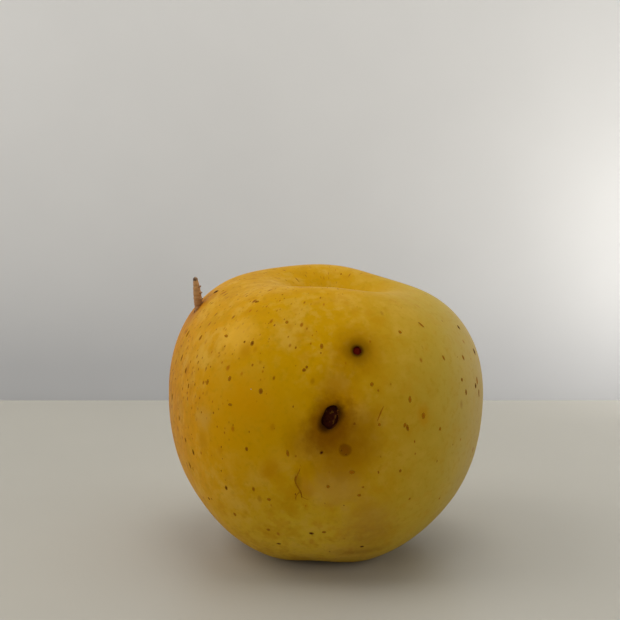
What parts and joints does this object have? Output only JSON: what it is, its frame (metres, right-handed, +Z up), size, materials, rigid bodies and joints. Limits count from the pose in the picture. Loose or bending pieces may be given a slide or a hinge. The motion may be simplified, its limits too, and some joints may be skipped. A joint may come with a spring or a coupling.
{
  "type": "worm-eaten yellow apple",
  "caption": "Whole yellow apple with burrows in its skin, a small larva rearing out of one, a stem stub in its cavity and a dry calyx below.",
  "frame": {"origin": "on the surface the apple stands on, under the middle of the apple's outline", "axes": "+Z up from the calyx end to the stem end, -Y towards the side with the two open burrows, +X to that side's right, away from the larva"},
  "size_m": [0.0806, 0.0766, 0.0708],
  "materials": {
    "skin": "ripe golden-yellow fruit skin, waxy satin, with brown lenticels, rot stains round the burrows and a bruise",
    "larva": "soft ringed pinkish-brown larva skin with a dark brown head",
    "stem": "dry grey-brown bark with a broken end",
    "calyx": "dry papery brown sepals"
  },
  "bodies": {
    "root": {"apple": "skin", "larva": "larva", "stem": "stem", "calyx": "calyx"}
  },
  "joints": []
}
